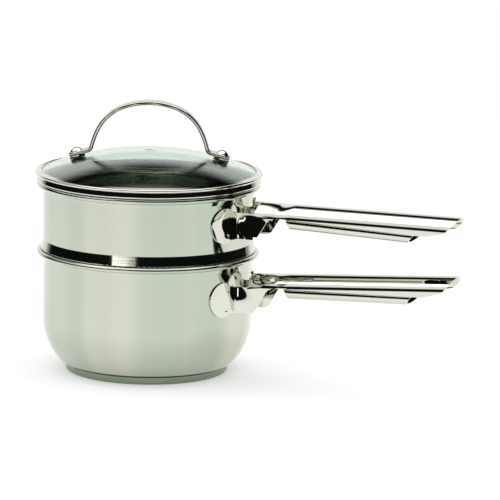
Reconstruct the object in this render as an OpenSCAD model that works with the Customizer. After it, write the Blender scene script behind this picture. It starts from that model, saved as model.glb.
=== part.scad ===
// Double boiler: a saucepan, a stepped insert that hangs in its rim and a domed glass lid.
// Sizes are millimetres. The origin is on the pot axis at the underside of the base, and +Z is up.
// Both long handles point along +X, and the strap on the lid is turned about the axis.

/* [Saucepan] */
// Outside diameter of the saucepan wall
pot_d = 161.2; // [150:1:180]
// Height of the saucepan's rim above the table
pot_h = 93.9; // [88:1:110]
// Thickness of the sheet of both pans
sheet_t = 0.8; // [0.6:0.1:1]
// Radius of the large curve at the foot of the wall
belly_r = 49.5; // [46:0.5:54]
// Height at which the wall starts to curve in
belly_z = 42; // [38:1:46]
// Radius of the tight corner between that curve and the flat floor
foot_r = 8; // [5:0.5:10]

/* [Base disc] */
// Height of the base disc under the floor
base_h = 6; // [4:0.5:8]
// Thickness of the steel cap that wraps the disc
cap_t = 0.6; // [0.4:0.1:1]
// How far the disc stands out past the flat part of the floor
base_over = 0.4; // [-4:0.2:1]
// Radius of the lower edge of the disc
base_edge_r = 1.5; // [1.2:0.1:3]

/* [Curled rims] */
// Radius of the hollow flare below the curl of each pan
flare_r = 16.7; // [14:0.1:20]
// Angle through which the flare turns outwards
flare_deg = 21.8; // [18:0.2:26]
// Radius of the curl at the edge
curl_r = 2.2; // [1.9:0.1:2.4]
// Angle of the gap between the end of the curl and the flare, seen from the centre of the curl
curl_gap = 70; // [66:1:100]

/* [Insert] */
// How far the insert's wall stands outside the saucepan's wall
insert_out = 0.5; // [0:0.1:1]
// Height of the insert's rim above the saucepan's rim
insert_h = 52.6; // [48:0.1:70]
// How far the polished skirt spreads from the wall at its lower edge
skirt_out = 1.3; // [0.8:0.1:1.6]
// Height of the polished skirt above the saucepan's rim
skirt_h = 8.3; // [6:0.1:12]
// Outside radius of the bend between the skirt and the ledge
ledge_bend_r = 1.2; // [1:0.1:1.6]
// Radius of the hollow bend between the ledge and the well
well_bend_r = 1.2; // [0.8:0.1:1.8]
// Clearance between the ledge and the saucepan's curl, and between the lid and the insert's curl
seat_gap = 0.3; // [0.3:0.05:0.5]
// Clearance between the well and the saucepan's wall
well_gap = 0.9; // [0.6:0.1:1.5]
// Depth of the well's floor below the saucepan's rim
well_depth = 34; // [28:1:42]
// Radius of the well's lower corner
well_corner_r = 14; // [8:1:20]

/* [Grip section] */
// Width of the grip
grip_w = 29; // [26:0.5:32]
// Height of the oval from which the grip's shell is cut
grip_h = 20.8; // [19:0.2:24]
// Radius of the sides of that oval
grip_side_r = 8; // [7:0.2:8.6]
// Thickness of the handle sheet
handle_t = 1.2; // [1:0.1:1.5]
// Height of the shell's edges above the axis of the grip, where they meet the side walls
shell_lift = 1.2; // [0.8:0.1:1.8]
// How far the shell's edges reach below the axis of the grip, where the tip begins
shell_drop = 4; // [3:0.2:5]

/* [Long handles] */
// Distance from the wall to the open end of the grip
root_gap = 9.4; // [7:0.2:14]
// Length of the grip along its top
grip_len = 167.5; // [140:1:190]
// Rise of the saucepan's grip, in degrees
lower_rise = 4.6; // [2:0.2:7]
// Rise of the insert's grip, in degrees
upper_rise = 0.9; // [0:0.1:3]
// Depth of the saucepan's grip axis below its rim, at the open end
lower_grip_drop = 21.4; // [20:0.2:26]
// Depth of the insert's grip axis below its rim, at the open end
upper_grip_drop = 18.7; // [17:0.1:24]
// Slope of the cut across the tip, in degrees from upright
tip_slope = 41; // [20:1:50]
// Slope of the tip's lower edge, in degrees from the axis of the grip
tip_sweep = 12; // [8:1:20]
// Height of the tip's corner above the shell's lower edge
tip_corner_h = 3.4; // [2:0.2:5]
// Radius of the tip's corner
tip_corner_r = 6; // [3:0.5:9]

/* [Trough under each grip] */
// Distance from the open end of the grip to the trough, along its widest line
trough_start = 29.8; // [20:0.2:40]
// Distance from the other end of the trough to the tip of the grip
trough_end = 37.2; // [30:0.2:60]
// Slope of the trough against the grip, in degrees
trough_slope = 1.8; // [0.5:0.1:2.5]
// Depth of the trough's widest line below the grip axis at its start
trough_drop = 3.3; // [2.6:0.1:4]
// Depth of the trough's underside below its widest line
trough_low = 5.3; // [5:0.1:6.5]
// Height of the trough's edges above its widest line
trough_up = 5.4; // [4.8:0.1:5.8]
// Radius of the trough's lower sides
trough_side_r = 4.2; // [3:0.1:4.6]
// Radius with which the trough's upper edges lean in
trough_lean_r = 7.5; // [7:0.1:9]
// Slant of the trough's first end, in degrees from upright
trough_slant = 24; // [0:1:40]
// Slant of the trough's other end, in degrees from upright
trough_end_slant = 39; // [0:1:44]
// Length of the tabs that join the trough's edges to the inside of the shell
tab_len = 8; // [4:1:12]
// Distance of the tabs from the ends of the trough
tab_in = 7; // [5:1:12]
// Clearance between the trough and the edges of the shell
trough_gap = 0.1; // [0.05:0.05:0.2]

/* [Ears that carry the handles] */
// Radius of the round ears
ear_r = 13.4; // [12:0.2:16]
// Angle round the wall from the middle of the handle to each ear
ear_turn = 20; // [19:0.5:26]
// Depth of the ear centres below the grip axis, on the saucepan
lower_ear_drop = 7.2; // [5:0.2:9]
// Depth of the ear centres below the grip axis, on the insert
upper_ear_drop = 5.5; // [4:0.2:8]
// Height of the side walls above the ear centres
cheek_up = 8.6; // [6:0.2:9]
// Depth of the side walls below the ear centres
cheek_down = 11.4; // [9:0.2:12]
// Distance from the open end of the grip to the corner between the shell's edges and the side walls
notch_x = 16.8; // [14:0.2:20]
// Radius of that hollow corner
notch_r = 10; // [6:0.5:12]
// Slope of the side walls' front edge, in degrees from upright
cheek_slope = 33; // [20:1:40]
// Radius of the side walls' lower corner
cheek_corner_r = 6.5; // [2:0.5:8]
// How far the side walls tuck inside the widest line of the grip
cheek_tuck = 0.1; // [0.1:0.05:0.3]
// Inside radius of the bends between the side walls and the ears
ear_bend_r = 2.5; // [1.5:0.1:4]
// Gap between the ears and the wall
ear_gap = 0.1; // [0.05:0.05:0.2]
// Distance of the weld marks from the centre of an ear
weld_ring_r = 8.5; // [6:0.1:9]
// Depth of the weld marks
weld_depth = 0.35; // [0.2:0.05:0.5]
// Radius of the round punch that leaves a weld mark
weld_punch_r = 4; // [3:0.5:6]

/* [Lid] */
// Outside radius of the glass dome's curve
dome_r = 217; // [200:1:260]
// Thickness of the glass
glass_t = 4; // [3:0.5:5]
// Thickness of the band's sheet
band_t = 0.5; // [0.4:0.1:0.6]
// How far the lower edge of the band stands out past the insert's curl
band_over = 0.4; // [-0.4:0.1:1]
// Height of the band above its seat on the insert
band_h = 7.3; // [6.8:0.1:9]
// Radius of the bead round the top of the band
bead_r = 1.2; // [1:0.1:1.5]
// How far the bead stands out past the lower edge of the band
bead_over = 1; // [0.6:0.1:2]
// How far the band draws in from its lower edge to the neck under the bead
neck_in = 0.9; // [0.4:0.1:1.2]
// Radius of the band's lower edge
hem_r = 1; // [0.8:0.1:1.4]
// Width of the lip folded over the glass
band_lip = 2; // [1.5:0.1:3]
// Depth of the edge of the glass below the top of the bead
glass_dip = 0.7; // [0.7:0.1:1.4]
// Clearance between the edge of the glass and the neck
glass_gap = 0.4; // [0.3:0.1:0.8]
// Clearance between the wall that centres the lid and the insert's wall
wall_gap = 1; // [0.6:0.1:1.5]
// Depth of that wall below the insert's rim
wall_drop = 3.5; // [2:0.5:6]
// Clearance between the glass and the sheet that holds it
glass_play = 0.02; // [0.02:0.01:0.1]

/* [Strap handle] */
// Angle of the strap about the pot axis
strap_turn = 22; // [0:1:90]
// Width of the strap
strap_w = 12; // [10:0.5:16]
// Radius of the strap's round ends, a little over half its width
strap_end_r = 6.3; // [5.3:0.1:9]
// Thickness of the strap
strap_t = 3; // [2.5:0.1:4]
// Height of the strap's top above the top of the glass
strap_rise = 37.9; // [37:0.1:46]
// Radius of the strap's top curve
strap_top_r = 60; // [55:1:68]
// Half angle of the top curve
strap_top_deg = 20; // [16:1:24]
// Radius of the strap's shoulders
strap_side_r = 36; // [32:1:40]
// Slope of the strap where the shoulders end, in degrees below level
strap_side_deg = 62; // [58:1:66]
// Radius of the strap's flanks
strap_flank_r = 60; // [50:1:68]
// Slope of the strap's legs, in degrees below level
strap_leg_deg = 75; // [70:1:78]
// Inside radius of the bend between each leg and its tab
strap_bend_r = 3; // [2:0.5:5]
// Distance of the screws from the pot axis
screw_r = 54.8; // [53:0.2:62]

/* [Fittings of the strap] */
// Diameter of the domed screw heads
head_d = 9.8; // [8:0.2:11]
// Height of the domed screw heads
head_h = 3; // [2:0.1:3.6]
// Diameter of the screw shanks
shank_d = 5.5; // [4:0.1:6]
// Clearance round the shanks in the strap and the washers
shank_gap = 0.1; // [0.05:0.05:0.3]
// Clearance round the shanks in the glass and the gaskets
glass_hole_gap = 0.6; // [0.4:0.1:1]
// Diameter of the rubber gaskets
gasket_d = 12; // [11:0.5:14]
// Thickness of the gasket above the glass
outer_gasket_t = 1.2; // [1:0.1:2.5]
// Thickness of the gasket below the glass
inner_gasket_t = 1.2; // [1:0.1:2]
// Diameter of the spacer washer above the glass
spacer_d = 11; // [9:0.5:12]
// Thickness of the spacer washer above the glass
spacer_t = 0.8; // [0.6:0.1:3]
// Diameter of the washer below the glass
washer_d = 10; // [9:0.5:12]
// Thickness of the washer below the glass
washer_t = 1; // [0.6:0.1:1.5]
// Width of the nuts across their flats
nut_w = 8; // [7:0.5:9]
// Height of the nuts
nut_h = 3; // [2.5:0.1:4]
// How far the shanks stand out of the nuts
shank_end = 1; // [0.5:0.1:2]

/* [Hidden] */
$fn = 96;
// A length longer than any part of the object, for cutting tools
far = 400;

// Rounds a derived size to whole micrometres, so that pieces that share an edge share it exactly
function um(size) = round(size * 1000) / 1000;

// Flare and curl at the top of each pan: the curl's centre lies curl_reach from the centre of the flare
curl_reach = flare_r + sheet_t - curl_r;
curl_x = flare_r - curl_reach * cos(flare_deg);
curl_up = curl_reach * sin(flare_deg);
rim_over = curl_x + curl_r;
rim_h = curl_up + curl_r;

// Saucepan
pot_r = pot_d / 2;
pot_flare_z = um(pot_h - rim_h);
belly_x = pot_r - belly_r;
foot_z = base_h + foot_r;
foot_x = belly_x + sqrt(pow(belly_r - foot_r, 2) - pow(belly_z - foot_z, 2));
base_r = foot_x + base_over;

// Insert, with its own heights from the saucepan's rim
insert_r = pot_r + insert_out;
insert_top = pot_h + insert_h;
insert_flare_z = um(insert_h - rim_h);
well_r = pot_r - sheet_t - well_gap;
skirt_r = insert_r + skirt_out;
ledge_x = skirt_r - ledge_bend_r;
seat_reach = curl_r + ledge_bend_r + seat_gap;
ledge_z = um(sqrt(pow(seat_reach, 2) - pow(pot_r + curl_x - ledge_x, 2)) - curl_r - ledge_bend_r);

// Grip: the shell's edges run straight from the side walls to the tip
tip_corner_x = grip_len - (grip_h / 2 + shell_drop - tip_corner_h) * tan(tip_slope);
edge_run = [tip_corner_x - tip_corner_h / tan(tip_sweep) - notch_x, -shell_drop - shell_lift];
edge_dir = edge_run / norm(edge_run);
cheek_front = [sin(cheek_slope), cos(cheek_slope)];
cheek_x = notch_x + notch_r / 2;
trough_len = grip_len - trough_start - trough_end;

// Lid: the band sits on the insert's curl, and its inner wall carries the glass
seat_z = um(insert_top + seat_gap);
band_r = um(insert_r + rim_over + band_over);
band_top = um(seat_z + band_h);
bead_c = [band_r + bead_over - bead_r, band_top - bead_r];
neck_r = um(band_r - neck_in);
glass_r = um(neck_r - band_t - glass_gap);
lip_r = glass_r - band_lip;
wall_r = um(insert_r - sheet_t - wall_gap);
dome_z = um(band_top - glass_dip - sqrt(pow(dome_r, 2) - pow(glass_r, 2)));
wall_top = um(dome_z + sqrt(pow(dome_r - glass_t, 2) - pow(wall_r, 2)) - glass_play);
glass_top = dome_z + dome_r;

// Strap, in its own upright plane, with heights from the top of the glass
screw_deg = asin(screw_r / dome_r);
stack_h = outer_gasket_t + spacer_t;
top_c = [0, strap_rise - strap_top_r];
side_c = top_c + (strap_top_r - strap_side_r) * [sin(strap_top_deg), cos(strap_top_deg)];
flank_c = side_c + (strap_side_r - strap_flank_r) * [sin(strap_side_deg), cos(strap_side_deg)];
leg_dir = [cos(strap_leg_deg), -sin(strap_leg_deg)];
leg_out = [sin(strap_leg_deg), cos(strap_leg_deg)];
leg_start = flank_c + strap_flank_r * leg_out;
tab_dir = [cos(screw_deg), -sin(screw_deg)];
tab_out = [sin(screw_deg), cos(screw_deg)];
screw_foot = dome_r * (tab_out - [0, 1]);
tab_top = screw_foot + (stack_h + strap_t) * tab_out;
leg_len = (strap_bend_r - (leg_start + strap_bend_r * leg_out - tab_top) * tab_out) / (leg_dir * tab_out);
bend_c = leg_start + leg_len * leg_dir + strap_bend_r * leg_out;

// Points along an arc, in steps of about two degrees
function arc(centre, radius, from_deg, to_deg) =
    let (steps = ceil(abs(to_deg - from_deg) / 2))
    [for (i = [0:steps])
        let (turn = from_deg + (to_deg - from_deg) * i / steps)
        centre + radius * [cos(turn), sin(turn)]];

// Keeps the part of a drawing between two directions from the origin, less than 180 degrees apart
module between(from_deg, to_deg) {
    reach = 1.2 * pot_r;
    middle = (from_deg + to_deg) / 2;
    intersection() {
        children();
        polygon([
            [0, 0],
            reach * [cos(from_deg), sin(from_deg)],
            reach * [cos(middle), sin(middle)] / cos((to_deg - from_deg) / 2),
            reach * [cos(to_deg), sin(to_deg)],
        ]);
    }
}

// Rounds the outer corner of a drawing: its edges leave the corner along unit vectors a and b
module round_corner(corner, a, b, radius) {
    half = acos(a * b) / 2;
    reach = radius / tan(half);
    difference() {
        children();
        polygon([corner + reach * a, corner + reach * b, corner - a - b]);
    }
    translate(corner + (a + b) / norm(a + b) * radius / sin(half)) circle(radius);
}

module ring(outer, thickness) {
    difference() {
        circle(outer);
        circle(outer - thickness);
    }
}

// Half section of the saucepan up to the flare, shrunk by inset on every side
module pot_outline(inset) {
    floor_z = base_h + inset;
    translate([0, belly_z]) square([pot_r - inset, pot_flare_z - belly_z]);
    translate([0, floor_z]) square([foot_x, belly_z - floor_z]);
    translate([foot_x, foot_z]) circle(foot_r - inset);
    translate([belly_x, belly_z]) between(-atan2(belly_z - foot_z, foot_x - belly_x), 0) circle(belly_r - inset);
}

// Half section of the flare and curl above a wall of outside radius wall_r that ends at height flare_z
module rim_section(wall_r, flare_z) {
    translate([wall_r + flare_r, flare_z])
        between(180 - flare_deg, 180) ring(flare_r + sheet_t, sheet_t);
    translate([wall_r + curl_x, flare_z + curl_up]) {
        between(90, 180 - flare_deg) ring(curl_r, sheet_t);
        between(0, 90) ring(curl_r, sheet_t);
        between(-90, 0) ring(curl_r, sheet_t);
        between(curl_gap - flare_deg - 180, -90) ring(curl_r, sheet_t);
    }
}

module lower_pot_body() {
    color("silver") rotate_extrude() {
        difference() {
            pot_outline(0);
            pot_outline(sheet_t);
            translate([-far, 0]) square([far, far]);
        }
        rim_section(pot_r, pot_flare_z);
    }
}

// Half section of the base disc, shrunk by inset at its side and below
module base_outline(inset) {
    edge = base_edge_r - inset;
    translate([0, inset + edge]) square([base_r - inset, base_h - inset - edge]);
    translate([0, inset]) square([base_r - inset - edge, edge]);
    translate([base_r - inset - edge, inset + edge]) between(-90, 0) circle(edge);
}

module lower_base_core() {
    color("lightgray") rotate_extrude() base_outline(cap_t);
}

module lower_base_cap() {
    color("silver") rotate_extrude() difference() {
        base_outline(0);
        base_outline(cap_t);
    }
}

// Half section of the insert below its flare, shrunk by inset on every side
module insert_outline(inset) {
    r = well_r - inset;
    floor_z = inset - well_depth;
    corner = well_corner_r - inset;
    ledge = ledge_z + inset;
    bend = well_bend_r + inset;
    ledge_corner = ledge_bend_r - inset;
    translate([0, floor_z + corner]) square([r, ledge - floor_z - corner]);
    translate([0, floor_z]) square([r - corner, corner]);
    translate([r - corner, floor_z + corner]) between(-90, 0) circle(corner);
    difference() {
        translate([0, ledge - bend]) square([r + bend, bend]);
        translate([well_r + well_bend_r, ledge_z - well_bend_r]) circle(bend);
    }
    translate([0, ledge]) square([ledge_x, ledge_corner]);
    translate([ledge_x, ledge + ledge_corner]) between(-90, 0) circle(ledge_corner);
    polygon([
        [0, ledge + ledge_corner],
        [skirt_r - inset, ledge + ledge_corner],
        [insert_r - inset, skirt_h],
        [insert_r - inset, insert_flare_z],
        [0, insert_flare_z],
    ]);
}

module insert_body() {
    color("silver") translate([0, 0, pot_h]) rotate_extrude() {
        difference() {
            insert_outline(0);
            insert_outline(sheet_t);
        }
        rim_section(insert_r, insert_flare_z);
    }
}

// Oval of four tangent arcs
module oval(width, height, side_r) {
    a = width / 2 - side_r;
    b = height / 2;
    top_r = (a * a + b * b - side_r * side_r) / (2 * (b - side_r));
    join = a * top_r / (top_r - side_r);
    intersection() {
        translate([0, b - top_r]) circle(top_r);
        translate([0, top_r - b]) circle(top_r);
        square([2 * join, height], center = true);
    }
    for (side = [-1, 1]) translate([side * a, 0]) circle(side_r);
}

module oval_ring(width, height, side_r, thickness) {
    difference() {
        oval(width, height, side_r);
        oval(width - 2 * thickness, height - 2 * thickness, side_r - thickness);
    }
}

// Lays a drawing across the grip and sweeps it along +X, from x = start over the given length
module along_grip(start, length) {
    translate([start, 0, 0]) rotate([90, 0, 90]) linear_extrude(length) children();
}

// Side outline of the grip's shell with the slanted, swept tip
module tip_outline() {
    top = grip_h / 2;
    corner = [grip_len - (top + shell_drop - tip_corner_h) * tan(tip_slope), tip_corner_h - shell_drop];
    up = [sin(tip_slope), cos(tip_slope)];
    back = [-cos(tip_sweep), -sin(tip_sweep)];
    round_corner(corner, up, back, tip_corner_r) polygon([
        corner,
        corner + grip_h / up[1] * up,
        [0, corner[1] + grip_h],
        [0, corner[1] - corner[0] * tan(tip_sweep)],
    ]);
}

// The shell of the grip is an oval tube, without its lower half between the side walls
module grip_shell() {
    difference() {
        along_grip(0, grip_len + grip_h) oval_ring(grip_w, grip_h, grip_side_r, handle_t);
        translate([-1, -grip_w, -grip_h]) cube([cheek_x + 1, 2 * grip_w, grip_h]);
        rotate([90, 0, 0]) linear_extrude(2 * grip_w, center = true) difference() {
            translate([grip_len / 2, -grip_h]) square([grip_len, 2 * grip_h]);
            tip_outline();
        }
    }
}

// Points of the arc that rounds a corner, whose edges leave it along unit vectors a and b, from a to b
function corner_arc(corner, a, b, radius) =
    let (
        half = acos(a * b) / 2,
        centre = corner + (a + b) / norm(a + b) * radius / sin(half),
        first = corner + radius / tan(half) * a - centre,
        from_deg = atan2(first[1], first[0]),
        side = cross(a, b) > 0 ? -1 : 1
    )
    arc(centre, radius, from_deg, from_deg + side * (180 - 2 * half));

// Side outline of what is cut away below the handle: all that lies under the shell's edges and in front of
// the side walls. The height low of the foot of the side walls is upright, not along the grip.
module handle_notch(low, rise) {
    // The arc at the foot crosses the lower edge, so that it doesn't just touch it
    foot_low = low - 0.02;
    corner = [notch_x, shell_lift];
    level = [cos(rise), -sin(rise)];
    foot = corner - (corner * [sin(rise), cos(rise)] - foot_low) / cos(cheek_slope - rise) * cheek_front;
    foot_arc = corner_arc(foot, cheek_front, -level, cheek_corner_r);
    polygon(concat(
        [corner + 1.2 * grip_len * edge_dir],
        corner_arc(corner, edge_dir, -cheek_front, notch_r),
        foot_arc,
        [foot_arc[len(foot_arc) - 1] - [0, grip_h]],
        [[notch_x + 1.2 * grip_len, low - grip_h]]
    ));
}

// Plan of one side wall with its bend and its ear, on the +Y side of a wall of radius wall_r.
// The wall tucks just inside the widest line of the grip, and the bend just into the ear.
module cheek_plan(wall_r, reach) {
    side = grip_w / 2 - cheek_tuck;
    ear_outer = wall_r + ear_gap + handle_t;
    bend_y = side + ear_bend_r;
    bend_x = um(sqrt(pow(ear_outer + ear_bend_r, 2) - bend_y * bend_y) - cheek_tuck / 4);
    turn = atan(bend_y / bend_x);
    translate([bend_x, side - handle_t]) square([reach - bend_x, handle_t]);
    translate([bend_x, bend_y]) between(180 + turn, 270) ring(ear_bend_r + handle_t, handle_t);
    between(turn, ear_turn) ring(ear_outer, handle_t);
}

// Side outline of the side walls before the notch is cut, from the pot axis and from the height of the grip
// axis at its open end
module cheek_outline(root_x, low, high, rise) {
    lap = cheek_tuck * 5;
    polygon([
        [0, low],
        [root_x + cheek_x, low],
        [root_x + cheek_x, cheek_x * tan(rise) + lap],
        [root_x, high],
        [0, high],
    ]);
}

// Side wall and ear on the +Y side, with heights from the grip axis at its open end
module cheek(wall_r, ear_drop, rise) {
    low = -ear_drop - cheek_down;
    high = cheek_up - ear_drop;
    ear_outer = wall_r + ear_gap + handle_t;
    difference() {
        union() {
            intersection() {
                translate([0, 0, 2 * low]) linear_extrude(-4 * low) cheek_plan(wall_r, 2 * wall_r);
                rotate([90, 0, 0]) linear_extrude(far, center = true)
                    cheek_outline(wall_r + root_gap, low, high, rise);
            }
            intersection() {
                translate([0, 0, 2 * low]) linear_extrude(-4 * low) difference() {
                    circle(ear_outer);
                    circle(ear_outer - handle_t);
                }
                translate([0, 0, -ear_drop]) rotate([0, 90, ear_turn]) cylinder(h = far, r = ear_r);
            }
        }
        translate([0, 0, -ear_drop]) rotate([0, 0, ear_turn]) for (turn = [50, 170, 290])
            translate([ear_outer - weld_depth + weld_punch_r, -weld_ring_r * cos(turn), weld_ring_r * sin(turn)])
                sphere(weld_punch_r);
    }
}

module long_handle_shell(wall_r, ear_drop, rise) {
    color("silver") difference() {
        union() {
            translate([wall_r + root_gap, 0, 0]) rotate([0, -rise, 0]) grip_shell();
            cheek(wall_r, ear_drop, rise);
            mirror([0, 1, 0]) cheek(wall_r, ear_drop, rise);
        }
        translate([wall_r + root_gap, 0, 0]) rotate([90, -rise, 0]) linear_extrude(4 * grip_w, center = true)
            handle_notch(-ear_drop - cheek_down, rise);
    }
}

// Half width of the hollow of the shell, at a height from the axis, less the clearance
function hollow(height) =
    um(grip_w / 2 - grip_side_r + sqrt(pow(grip_side_r - handle_t, 2) - height * height) - trough_gap);

// The trough nests between the edges of the shell and slopes away from it towards the tip. Its lower half is
// the lower half of an oval, and its upper edges lean in from the widest line.
module trough_section() {
    half_w = hollow(shell_drop);
    intersection() {
        oval_ring(2 * half_w, 2 * trough_low, trough_side_r, handle_t);
        translate([-2 * half_w, -2 * trough_low]) square([4 * half_w, 2 * trough_low]);
    }
    for (side = [0, 1]) mirror([side, 0]) translate([half_w - trough_lean_r, 0]) intersection() {
        ring(trough_lean_r, handle_t);
        square([2 * trough_lean_r, trough_up]);
    }
}

// Section of the tabs, which stand out level from just under the trough's edges
module tab_section() {
    tab_low = trough_up - 1.1 * handle_t;
    start_high = tab_low + handle_t - trough_drop;
    end_low = tab_low - trough_drop - trough_len * sin(trough_slope);
    tip_x = hollow(max(abs(start_high), abs(end_low)));
    root_x = hollow(shell_drop) - trough_lean_r + sqrt(pow(trough_lean_r, 2) - pow(trough_up, 2)) - 0.3 * handle_t;
    for (side = [0, 1]) mirror([side, 0]) translate([root_x, tab_low]) square([tip_x - root_x, handle_t]);
}

module long_handle_trough(wall_r, rise) {
    over = 2 * trough_low;
    color("silver") translate([wall_r + root_gap, 0, 0]) rotate([0, -rise, 0])
        translate([trough_start, 0, -trough_drop]) rotate([0, trough_slope, 0]) {
            intersection() {
                along_grip(-over, trough_len + 2 * over) trough_section();
                rotate([90, 0, 0]) linear_extrude(2 * grip_w, center = true) polygon([
                    [-over * tan(trough_slant), over],
                    [trough_len + over * tan(trough_end_slant), over],
                    [trough_len - over * tan(trough_end_slant), -over],
                    [over * tan(trough_slant), -over],
                ]);
            }
            for (start = [tab_in, trough_len - tab_in - tab_len]) along_grip(start, tab_len) tab_section();
        }
}

module lower_handle_shell() {
    translate([0, 0, pot_h - lower_grip_drop]) long_handle_shell(pot_r, lower_ear_drop, lower_rise);
}

module lower_handle_trough() {
    translate([0, 0, pot_h - lower_grip_drop]) long_handle_trough(pot_r, lower_rise);
}

module upper_handle_shell() {
    translate([0, 0, insert_top - upper_grip_drop]) long_handle_shell(insert_r, upper_ear_drop, upper_rise);
}

module upper_handle_trough() {
    translate([0, 0, insert_top - upper_grip_drop]) long_handle_trough(insert_r, upper_rise);
}

// Turns its children to the screw on the given side of the strap, with z out of the glass
module at_screw(side) {
    rotate([0, 0, strap_turn]) translate([0, 0, dome_z]) rotate([0, side * screw_deg, 0])
        translate([0, 0, dome_r]) children();
}

module lid_glass() {
    hole_r = shank_d / 2 + glass_hole_gap;
    color("palegreen", 0.4) difference() {
        rotate_extrude() intersection() {
            translate([0, dome_z]) ring(dome_r, glass_t);
            translate([0, seat_z]) square([glass_r, far]);
        }
        for (side = [-1, 1]) at_screw(side) cylinder(h = 4 * glass_t, r = hole_r, center = true);
    }
}

// The lip and one face of the bead, from the inner edge of the lip to the bottom of the bead
function bead_face(depth) =
    let (lip = dome_r + glass_play + band_t - depth)
    concat(
        arc([0, dome_z], lip, acos(lip_r / lip), acos(glass_r / lip)),
        arc(bead_c, bead_r - depth, 135, -90)
    );

// One sheet: the lip over the glass, the bead, the sloping skirt, its hem and the seat on the insert's curl.
// The seat ends at an upright wall that centres the lid below it and carries the glass above it.
module lid_rim_band() {
    hem_c = [band_r - hem_r, seat_z + hem_r];
    skirt_deg = atan(neck_in / (band_h - 2 * bead_r - hem_r));
    inner = bead_face(band_t);
    color("silver") rotate_extrude() polygon(concat(
        bead_face(0),
        [[neck_r, bead_c[1] - bead_r]],
        arc(hem_c, hem_r, skirt_deg, -90),
        [
            [wall_r, seat_z],
            [wall_r, insert_top - wall_drop],
            [wall_r - band_t, insert_top - wall_drop],
            [wall_r - band_t, wall_top],
            [wall_r, wall_top],
            [wall_r, seat_z + band_t],
        ],
        arc(hem_c, hem_r - band_t, -90, skirt_deg),
        [[neck_r - band_t, bead_c[1] - bead_r + band_t]],
        [for (i = [len(inner) - 1:-1:0]) inner[i]]
    ));
}

// One face of half the strap, from its end to its top, at the given depth under the outer face
function strap_face(depth) = concat(
    [tab_top + strap_w * tab_dir - depth * tab_out],
    arc(bend_c, strap_bend_r + depth, 270 - screw_deg, 270 - strap_leg_deg),
    arc(flank_c, strap_flank_r - depth, 90 - strap_leg_deg, 90 - strap_side_deg),
    arc(side_c, strap_side_r - depth, 90 - strap_side_deg, 90 - strap_top_deg),
    arc(top_c, strap_top_r - depth, 90 - strap_top_deg, 90)
);

// Side outline of the strap, from the pot axis and from the level of the top of the glass
module strap_outline() {
    outer = strap_face(0);
    inner = strap_face(strap_t);
    last = len(outer) - 1;
    polygon(concat(
        outer,
        [for (i = [last - 1:-1:0]) [-outer[i][0], outer[i][1]]],
        [for (i = [0:last]) [-inner[i][0], inner[i][1]]],
        [for (i = [last - 1:-1:0]) inner[i]]
    ));
}

module lid_handle() {
    over = 2 * (stack_h + strap_t);
    color("silver") difference() {
        translate([0, 0, glass_top]) rotate([90, 0, strap_turn]) linear_extrude(strap_w, center = true)
            strap_outline();
        for (side = [-1, 1]) at_screw(side) {
            cylinder(h = over, r = shank_d / 2 + shank_gap);
            linear_extrude(2 * over, center = true) difference() {
                translate([side > 0 ? 0 : -2 * strap_w, -strap_w]) square([2 * strap_w, 2 * strap_w]);
                circle(strap_end_r);
            }
        }
    }
}

// A flat ring on a screw, from height z in the screw's own frame
module stack_ring(side, z, outer_d, height, gap) {
    at_screw(side) translate([0, 0, z]) linear_extrude(height) difference() {
        circle(d = outer_d);
        circle(shank_d / 2 + gap);
    }
}

// The inner gasket is flat, and its edge touches the hollow underside of the glass
glass_inner_r = dome_r - glass_t;
inner_seat = glass_t + glass_inner_r - sqrt(pow(glass_inner_r, 2) - pow(gasket_d / 2, 2)) + glass_play;
inner_stack = inner_seat + inner_gasket_t + washer_t;

module screw(side) {
    head_r = head_d / 2;
    dome = (head_r * head_r + head_h * head_h) / (2 * head_h);
    color("silver") at_screw(side) {
        translate([0, 0, -inner_stack - nut_h - shank_end])
            cylinder(h = inner_stack + nut_h + shank_end + stack_h + strap_t, d = shank_d);
        translate([0, 0, stack_h + strap_t]) rotate_extrude() intersection() {
            translate([0, head_h - dome]) circle(dome);
            square([head_r, head_h]);
        }
    }
}

module nut(side) {
    color("silver") at_screw(side) translate([0, 0, -inner_stack - nut_h]) linear_extrude(nut_h) difference() {
        circle(d = nut_w / cos(30), $fn = 6);
        circle(d = shank_d);
    }
}

module spacer(side) {
    color("silver") stack_ring(side, outer_gasket_t, spacer_d, spacer_t, shank_gap);
}

module outer_gasket(side) {
    color("dimgray") stack_ring(side, 0, gasket_d, outer_gasket_t, glass_hole_gap);
}

module inner_gasket(side) {
    color("dimgray") stack_ring(side, -inner_seat - inner_gasket_t, gasket_d, inner_gasket_t, glass_hole_gap);
}

module washer(side) {
    color("silver") stack_ring(side, -inner_stack, washer_d, washer_t, shank_gap);
}

lower_pot_body();
lower_base_core();
lower_base_cap();
lower_handle_shell();
lower_handle_trough();
insert_body();
upper_handle_shell();
upper_handle_trough();
lid_glass();
lid_rim_band();
lid_handle();
screw(-1);  // left_screw
spacer(-1);  // left_spacer
outer_gasket(-1);  // left_outer_gasket
inner_gasket(-1);  // left_inner_gasket
washer(-1);  // left_washer
nut(-1);  // left_nut
screw(1);  // right_screw
spacer(1);  // right_spacer
outer_gasket(1);  // right_outer_gasket
inner_gasket(1);  // right_inner_gasket
washer(1);  // right_washer
nut(1);  // right_nut
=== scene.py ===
import math

import bmesh
import bpy
from mathutils import Matrix, Vector


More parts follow.
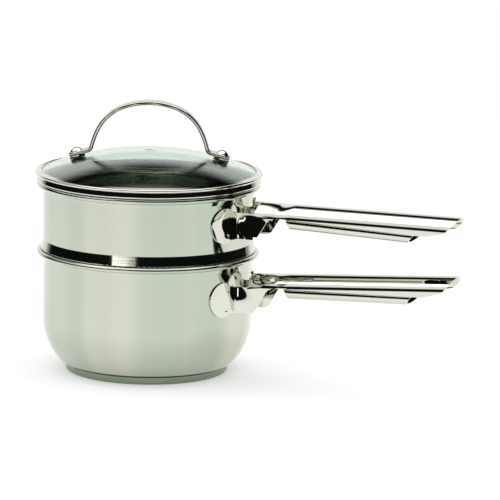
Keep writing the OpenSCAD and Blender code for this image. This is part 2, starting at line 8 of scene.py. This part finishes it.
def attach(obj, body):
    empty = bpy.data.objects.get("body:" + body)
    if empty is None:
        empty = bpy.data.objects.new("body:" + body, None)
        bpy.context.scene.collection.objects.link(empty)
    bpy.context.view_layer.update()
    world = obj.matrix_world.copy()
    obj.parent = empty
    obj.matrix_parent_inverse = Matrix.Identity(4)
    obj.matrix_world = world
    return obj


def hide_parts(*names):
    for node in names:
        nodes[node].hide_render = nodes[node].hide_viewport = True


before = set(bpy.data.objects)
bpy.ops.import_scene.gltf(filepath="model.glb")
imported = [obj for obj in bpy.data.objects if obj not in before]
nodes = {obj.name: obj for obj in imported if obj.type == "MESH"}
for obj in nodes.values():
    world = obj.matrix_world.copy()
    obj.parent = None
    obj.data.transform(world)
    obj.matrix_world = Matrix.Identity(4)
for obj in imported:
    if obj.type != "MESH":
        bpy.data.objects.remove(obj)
bpy.context.view_layer.update()

# Camera: a long lens well above the rim, turned towards the handles
CAMERA_DISTANCE = 3.5
CAMERA_ELEVATION = math.radians(10.8)
CAMERA_AZIMUTH = math.radians(25.0)
CAMERA_ROLL = math.radians(0.82)
CAMERA_LENS = 328.4
LOOK_HEIGHT = 0.09
AIM_RIGHT = 0.0783
AIM_UP = 0.0022

# Light levels of the studio, as radiance
FLOOR_WHITE = 0.84
FLOOR_GLOW = 0.42
STUDIO_DARK = 0.006
STUDIO_FILL = 0.55
BACKDROP_WHITE = 1.0

# Radius of the strap's rolled edges
STRAP_ROUND = 0.0012

# Level directions of the studio: behind the pan, ahead of it and to its left, as the photographer stands
BEHIND = (-math.sin(CAMERA_AZIMUTH), math.cos(CAMERA_AZIMUTH), 0.0)
AHEAD = (math.sin(CAMERA_AZIMUTH), -math.cos(CAMERA_AZIMUTH), 0.0)
LEFT = (-math.cos(CAMERA_AZIMUTH), -math.sin(CAMERA_AZIMUTH), 0.0)


def make_camera():
    """The photograph's viewing angle, turned aside so that pan and handles fill the frame."""
    level = Vector((math.sin(CAMERA_AZIMUTH), -math.cos(CAMERA_AZIMUTH), 0.0))
    back = level * math.cos(CAMERA_ELEVATION) + Vector((0, 0, math.sin(CAMERA_ELEVATION)))
    right = Vector((math.cos(CAMERA_AZIMUTH), math.sin(CAMERA_AZIMUTH), 0.0))
    up = back.cross(right)
    roll_right = right * math.cos(CAMERA_ROLL) + up * math.sin(CAMERA_ROLL)
    roll_up = up * math.cos(CAMERA_ROLL) - right * math.sin(CAMERA_ROLL)
    look_at = Vector((0, 0, LOOK_HEIGHT))
    place = look_at + back * CAMERA_DISTANCE
    aim = look_at + roll_right * AIM_RIGHT + roll_up * AIM_UP
    z_axis = (place - aim).normalized()
    x_axis = roll_up.cross(z_axis).normalized()
    y_axis = z_axis.cross(x_axis)
    turn = Matrix((x_axis, y_axis, z_axis)).transposed().to_4x4()
    data = bpy.data.cameras.new("camera")
    data.lens = CAMERA_LENS
    data.sensor_width = 36.0
    data.clip_end = 60.0
    camera = bpy.data.objects.new("camera", data)
    camera.matrix_world = Matrix.Translation(place) @ turn
    bpy.context.scene.collection.objects.link(camera)
    bpy.context.scene.camera = camera


class Graph:
    """A short way to add shader nodes to a tree."""

    def __init__(self, tree):
        self.tree = tree
        tree.nodes.clear()

    def add(self, kind, settings=None, **inputs):
        node = self.tree.nodes.new(kind)
        for name, value in (settings or {}).items():
            setattr(node, name, value)
        for name, value in inputs.items():
            key = int(name[1:]) if name[0] == "i" and name[1:].isdigit() else name.replace("_", " ")
            self.plug(value, node.inputs[key])
        return node

    def plug(self, value, socket):
        if isinstance(value, bpy.types.NodeSocket):
            self.tree.links.new(value, socket)
        else:
            socket.default_value = value

    def math(self, kind, first, second=0.0, clamp=False):
        settings = {"operation": kind, "use_clamp": clamp}
        return self.add("ShaderNodeMath", settings, i0=first, i1=second).outputs[0]


def studio_world():
    """White for the camera, an even fill for matt pieces, and for polished ones a dark room
    with a white ceiling, a white table that runs to the horizon, a low white backdrop behind
    the pan and a white screen at its left."""
    world = bpy.data.worlds.new("studio")
    world.use_nodes = True
    g = Graph(world.node_tree)
    path = g.add("ShaderNodeLightPath")
    direction = g.add("ShaderNodeTexCoord").outputs["Generated"]
    height = g.add("ShaderNodeSeparateXYZ", Vector=direction).outputs["Z"]

    def ramp(value, start, end):
        step = g.add("ShaderNodeMapRange", {"interpolation_type": "SMOOTHSTEP"}, Value=value)
        step.inputs["From Min"].default_value = start
        step.inputs["From Max"].default_value = end
        return step.outputs[0]

    def towards(way):
        dot = g.add("ShaderNodeVectorMath", {"operation": "DOT_PRODUCT"}, i0=direction, i1=way)
        return dot.outputs["Value"]

    ceiling = ramp(height, 0.74, 0.84)
    low = g.math("SUBTRACT", 1.0, ramp(height, 0.44, 0.60))
    wall = g.math("MULTIPLY", ramp(towards(BEHIND), 0.60, 0.85), low)
    screen = g.math("MULTIPLY", ramp(towards(LEFT), 0.45, 0.60), ramp(height, 0.40, 0.52))
    below = g.math("SUBTRACT", 1.0, ramp(height, -0.01, 0.01))
    table = g.math("MULTIPLY", ramp(towards(AHEAD), 0.2, 0.5), below)
    bright = g.math("MAXIMUM", g.math("MAXIMUM", ceiling, table), g.math("MAXIMUM", wall, screen))
    room = g.add("ShaderNodeMix", {"data_type": "FLOAT"}, Factor=bright, A=STUDIO_DARK, B=1.0)
    seen = g.add("ShaderNodeMix", {"data_type": "FLOAT"}, Factor=path.outputs["Is Diffuse Ray"], B=STUDIO_FILL)
    g.plug(room.outputs["Result"], seen.inputs["A"])
    shown = g.add("ShaderNodeMix", {"data_type": "FLOAT"}, Factor=path.outputs["Is Camera Ray"])
    g.plug(seen.outputs["Result"], shown.inputs["A"])
    shown.inputs["B"].default_value = BACKDROP_WHITE
    back = g.add("ShaderNodeBackground", Color=(1, 1, 1, 1), Strength=shown.outputs["Result"])
    out = g.add("ShaderNodeOutputWorld")
    g.plug(back.outputs[0], out.inputs["Surface"])
    bpy.context.scene.world = world


def softbox(name, size, place, target, radiance):
    """A rectangular lamp of that brightness, hidden from the camera itself."""
    data = bpy.data.lights.new(name, "AREA")
    data.shape = "RECTANGLE"
    data.size, data.size_y = size
    data.energy = radiance * math.pi * size[0] * size[1]
    lamp = bpy.data.objects.new(name, data)
    lamp.location = place
    lamp.rotation_mode = "QUATERNION"
    lamp.rotation_quaternion = (Vector(place) - Vector(target)).to_track_quat("Z", "Y")
    lamp.visible_camera = False
    bpy.context.scene.collection.objects.link(lamp)


def camera_side(right, towards, height):
    """A place given as metres right of the pan, towards the camera and above the floor."""
    x_axis = Vector((math.cos(CAMERA_AZIMUTH), math.sin(CAMERA_AZIMUTH), 0.0))
    y_axis = Vector((math.sin(CAMERA_AZIMUTH), -math.cos(CAMERA_AZIMUTH), 0.0))
    return x_axis * right + y_axis * towards + Vector((0, 0, height))


def studio_floor():
    """A white table top that keeps the shadow and shows white to the camera and in polished metal."""
    half = 1.3
    corners = [(-half, -half, 0), (half, -half, 0), (half, half, 0), (-half, half, 0)]
    mesh = bpy.data.meshes.new("table_top")
    mesh.from_pydata(corners, [], [(0, 1, 2, 3)])
    top = bpy.data.objects.new("table_top", mesh)
    bpy.context.scene.collection.objects.link(top)
    top.location.z = -0.0002
    paint = bpy.data.materials.new("table_top")
    paint.use_nodes = True
    g = Graph(paint.node_tree)
    path = g.add("ShaderNodeLightPath")
    matt = g.add("ShaderNodeBsdfDiffuse", Color=(FLOOR_WHITE, FLOOR_WHITE, FLOOR_WHITE, 1))
    first = g.math("MAXIMUM", path.outputs["Is Camera Ray"], path.outputs["Is Glossy Ray"])
    seen = g.math("MAXIMUM", first, path.outputs["Is Transmission Ray"])
    strength = g.math("MULTIPLY", seen, FLOOR_GLOW)
    glow = g.add("ShaderNodeEmission", Strength=strength)
    both = g.add("ShaderNodeAddShader")
    g.plug(matt.outputs[0], both.inputs[0])
    g.plug(glow.outputs[0], both.inputs[1])
    out = g.add("ShaderNodeOutputMaterial")
    g.plug(both.outputs[0], out.inputs["Surface"])
    mesh.materials.append(paint)


def steel(name, colour, polish, grain_scale, grain_depth, second=None, wave=None, seams=None):
    """Polished steel: roughness and height follow fine lines, stretched as grain_scale says.
    A second colour is painted reflection: soft upright bands of it stand in for the lighter and darker tones the
    walls reflect. wave adds the slow bumps of hand polishing, and below and above the heights of seams a
    near-black colour is painted shade, for the shade in the joint and the contact shadow; between them the metal
    keeps its colour."""
    paint = bpy.data.materials.new(name)
    paint.use_nodes = True
    g = Graph(paint.node_tree)
    place = g.add("ShaderNodeTexCoord").outputs["Object"]
    lines = g.add("ShaderNodeMapping", Vector=place)
    lines.inputs["Scale"].default_value = grain_scale
    grain = g.add("ShaderNodeTexNoise", Vector=lines.outputs[0], Scale=1.0, Detail=3.0)
    cloud = g.add("ShaderNodeTexNoise", Vector=place, Scale=28.0, Detail=2.0)
    both = g.math("ADD", grain.outputs[0], cloud.outputs[0])
    rough = g.add("ShaderNodeMapRange", Value=both)
    rough.inputs["From Min"].default_value = 0.6
    rough.inputs["From Max"].default_value = 1.4
    rough.inputs["To Min"].default_value = polish[0]
    rough.inputs["To Max"].default_value = polish[1]
    bump = g.add("ShaderNodeBump", Height=grain.outputs[0], Strength=grain_depth, Distance=0.0001)
    if wave:
        shift, reach, lean, share = wave
        slow = g.add("ShaderNodeMapping", Vector=place, Location=shift)
        swell = g.add("ShaderNodeTexNoise", Vector=slow.outputs[0], Scale=38.0, Detail=0.0)
        along = g.add("ShaderNodeSeparateXYZ", Vector=place).outputs["X"]
        fade = g.add("ShaderNodeMapRange", {"interpolation_type": "SMOOTHSTEP"}, Value=along)
        fade.inputs["From Min"].default_value = reach + 0.012
        fade.inputs["From Max"].default_value = reach
        upright = g.add("ShaderNodeSeparateXYZ", Vector=place).outputs["Z"]
        cheek = g.add("ShaderNodeMapRange", {"interpolation_type": "SMOOTHSTEP"}, Value=along)
        cheek.inputs["From Min"].default_value = 0.079
        cheek.inputs["From Max"].default_value = 0.084
        tilt = g.math("MULTIPLY", g.math("MULTIPLY", g.math("SUBTRACT", upright, 0.125), -lean), cheek.outputs[0])
        leaning = g.math("ADD", g.math("MULTIPLY", g.math("SUBTRACT", swell.outputs[0], 0.5), share), tilt)
        height = g.math("MULTIPLY", leaning, fade.outputs[0])
        rolling = g.add("ShaderNodeBump", Height=height, Strength=1.0, Distance=WAVE_DEPTH)
        g.plug(rolling.outputs[0], bump.inputs["Normal"])
    skin = g.add("ShaderNodeBsdfPrincipled", Base_Color=(*colour, 1), Metallic=1.0)
    # Painted reflection: the second colour, laid in soft upright bands round the axis and turned by a fixed
    # offset, stands in for the paler and greener tones the walls reflect
    if second:
        flat = g.add("ShaderNodeVectorMath", {"operation": "MULTIPLY"}, i0=place, i1=(1, 1, 0))
        round_about = g.add("ShaderNodeVectorMath", {"operation": "NORMALIZE"}, i0=flat.outputs[0])
        turned = g.add("ShaderNodeMapping", Vector=round_about.outputs[0], Location=REFLECTION_BAND_SHIFT)
        painted_reflection_bands = g.add("ShaderNodeTexNoise", Vector=turned.outputs[0], Scale=1.9, Detail=1.0)
        share = g.add("ShaderNodeMapRange", {"interpolation_type": "SMOOTHSTEP"}, Value=painted_reflection_bands.outputs[0])
        share.inputs["From Min"].default_value = 0.42
        share.inputs["From Max"].default_value = 0.62
        blend = g.add("ShaderNodeMix", {"data_type": "RGBA"}, Factor=share.outputs[0])
        g.plug((*colour, 1), blend.inputs[6])
        g.plug((*second, 1), blend.inputs[7])
        g.plug(blend.outputs[2], skin.inputs["Base Color"])
    # Painted shade: below and above the seam heights the colour turns near black, standing in for the shade in
    # the joint and the contact shadow at the floor
    if seams:
        level = g.add("ShaderNodeSeparateXYZ", Vector=place).outputs["Z"]
        unshaded_band = g.add("ShaderNodeMath", {"operation": "COMPARE"}, i0=level, i1=sum(seams) / 2)
        unshaded_band.inputs[2].default_value = (seams[1] - seams[0]) / 2
        painted_shade_mix = g.add("ShaderNodeMix", {"data_type": "RGBA"}, Factor=unshaded_band.outputs[0])
        g.plug((*SEAM_PAINTED_SHADE, 1), painted_shade_mix.inputs[6])
        g.plug((*colour, 1), painted_shade_mix.inputs[7])
        g.plug(painted_shade_mix.outputs[2], skin.inputs["Base Color"])
    g.plug(rough.outputs[0], skin.inputs["Roughness"])
    g.plug(bump.outputs[0], skin.inputs["Normal"])
    out = g.add("ShaderNodeOutputMaterial")
    g.plug(skin.outputs[0], out.inputs["Surface"])
    return paint


def lid_glass_paint():
    """Clear tempered glass, greener where more of it lies behind the surface."""
    paint = bpy.data.materials.new("lid_glass_clear")
    paint.use_nodes = True
    g = Graph(paint.node_tree)
    place = g.add("ShaderNodeTexCoord").outputs["Object"]
    cloud = g.add("ShaderNodeTexNoise", Vector=place, Scale=60.0, Detail=2.0)
    rough = g.add("ShaderNodeMapRange", Value=cloud.outputs[0])
    rough.inputs["To Min"].default_value = 0.0
    rough.inputs["To Max"].default_value = 0.012
    skin = g.add("ShaderNodeBsdfPrincipled", Base_Color=(0.95, 1.0, 0.96, 1), IOR=1.5)
    skin.inputs["Specular Tint"].default_value = (0.86, 1.0, 0.89, 1)
    skin.inputs["Transmission Weight"].default_value = 1.0
    g.plug(rough.outputs[0], skin.inputs["Roughness"])
    tint = g.add("ShaderNodeVolumeAbsorption", Color=(0.40, 0.80, 0.55, 1), Density=24.0)
    out = g.add("ShaderNodeOutputMaterial")
    g.plug(skin.outputs[0], out.inputs["Surface"])
    g.plug(tint.outputs[0], out.inputs["Volume"])
    return paint


def rounded_strap():
    """The lid's strap with the rolled edges of drawn bar: a bevelled copy of the CAD strap."""
    work = bmesh.new()
    work.from_mesh(nodes["lid_handle"].data)
    bmesh.ops.remove_doubles(work, verts=work.verts, dist=2e-6)
    flat = [e for e in work.edges if e.is_manifold and e.calc_face_angle() < math.radians(1.0)]
    bmesh.ops.dissolve_edges(work, edges=flat, use_verts=True)
    sharp = [e for e in work.edges if e.is_manifold and e.calc_face_angle() > math.radians(50.0)]
    bmesh.ops.bevel(work, geom=sharp, offset=STRAP_ROUND, offset_type="OFFSET", segments=4, profile=0.5,
                    affect="EDGES", clamp_overlap=True)
    for face in work.faces:
        face.smooth = True
    mesh = bpy.data.meshes.new("strap")
    work.to_mesh(mesh)
    work.free()
    strap = bpy.data.objects.new("strap", mesh)
    bpy.context.scene.collection.objects.link(strap)
    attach(strap, "lid")
    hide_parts("lid_handle")
    return strap


def gasket_paint():
    """Black silicone with a dull skin."""
    paint = bpy.data.materials.new("gasket_silicone")
    paint.use_nodes = True
    g = Graph(paint.node_tree)
    place = g.add("ShaderNodeTexCoord").outputs["Object"]
    cloud = g.add("ShaderNodeTexNoise", Vector=place, Scale=700.0, Detail=2.0)
    rough = g.add("ShaderNodeMapRange", Value=cloud.outputs[0])
    rough.inputs["To Min"].default_value = 0.35
    rough.inputs["To Max"].default_value = 0.55
    skin = g.add("ShaderNodeBsdfPrincipled", Base_Color=(0.03, 0.03, 0.03, 1))
    g.plug(rough.outputs[0], skin.inputs["Roughness"])
    out = g.add("ShaderNodeOutputMaterial")
    g.plug(skin.outputs[0], out.inputs["Surface"])
    return paint


def dress(paint, *names):
    for name in names:
        for slot in nodes[name].material_slots:
            slot.material = paint


make_camera()
studio_world()
studio_floor()
ceiling_place = camera_side(0.0, -0.1, 1.6)
softbox("ceiling_softbox", (2.2, 1.4), ceiling_place, (0, 0, 0.1), 1.2)
softbox("left_softbox", (0.70, 0.10), camera_side(-0.66, 1.42, 0.28), (0, 0, 0.2), 2.2)

WALL = (0.485, 0.54, 0.455)
# Pale tone of the walls' painted reflection bands
WALL_PAINTED_REFLECTION = (0.60, 0.61, 0.52)
MIRROR = (0.68, 0.69, 0.61)
WAVE_DEPTH = 0.005
# Near-black colour of the painted shade at the base's joint and floor contact
SEAM_PAINTED_SHADE = (0.02, 0.025, 0.015)
# Turns the painted reflection bands round the pan
REFLECTION_BAND_SHIFT = (-2.16, -0.15, 0.0)
pan_wall = steel("pan_wall", WALL, (0.05, 0.10), (4, 4, 900), 0.04, second=WALL_PAINTED_REFLECTION)
# Painted shade under 0.5 mm, the contact shadow at the floor, and over 5.3 mm, the shade in the gap under the
# body's rounded corner
base_satin = steel("base_satin", (0.25, 0.30, 0.215), (0.22, 0.34), (4, 4, 1500), 0.12, seams=(0.0005, 0.0053))
core_metal = steel("core_aluminium", (0.66, 0.66, 0.67), (0.3, 0.4), (40, 40, 40), 0.05)
lower_mirror = steel("lower_handle_mirror", MIRROR, (0.02, 0.05), (12, 700, 700), 0.02,
                     wave=((0.33, 0.32, 0.31), 0.112, 0.0, 1.0))
upper_mirror = steel("upper_handle_mirror", MIRROR, (0.02, 0.05), (12, 700, 700), 0.02,
                     wave=((0.193, -0.06, 0.022), 0.112, 26.0, 1.0))
band_mirror = steel("band_mirror", MIRROR, (0.02, 0.05), (5, 5, 1200), 0.02)
strap_mirror = steel("strap_mirror", (0.50, 0.51, 0.45), (0.03, 0.07), (60, 900, 60), 0.03)
fitting_metal = steel("fitting_metal", (0.66, 0.66, 0.65), (0.08, 0.16), (300, 300, 300), 0.03)

dress(pan_wall, "lower_pot_body", "insert_body")
dress(base_satin, "lower_base_cap")
dress(core_metal, "lower_base_core")
dress(lower_mirror, "lower_handle_shell", "lower_handle_trough")
dress(upper_mirror, "upper_handle_shell", "upper_handle_trough")
dress(band_mirror, "lid_rim_band")
strap = rounded_strap()
strap.data.materials.clear()
strap.data.materials.append(strap_mirror)
dress(lid_glass_paint(), "lid_glass")
gasket_skin = gasket_paint()
for side in ("left", "right"):
    dress(fitting_metal, side + "_screw", side + "_spacer", side + "_washer", side + "_nut")
    dress(gasket_skin, side + "_outer_gasket", side + "_inner_gasket")

bpy.context.scene.view_settings.view_transform = "Standard"
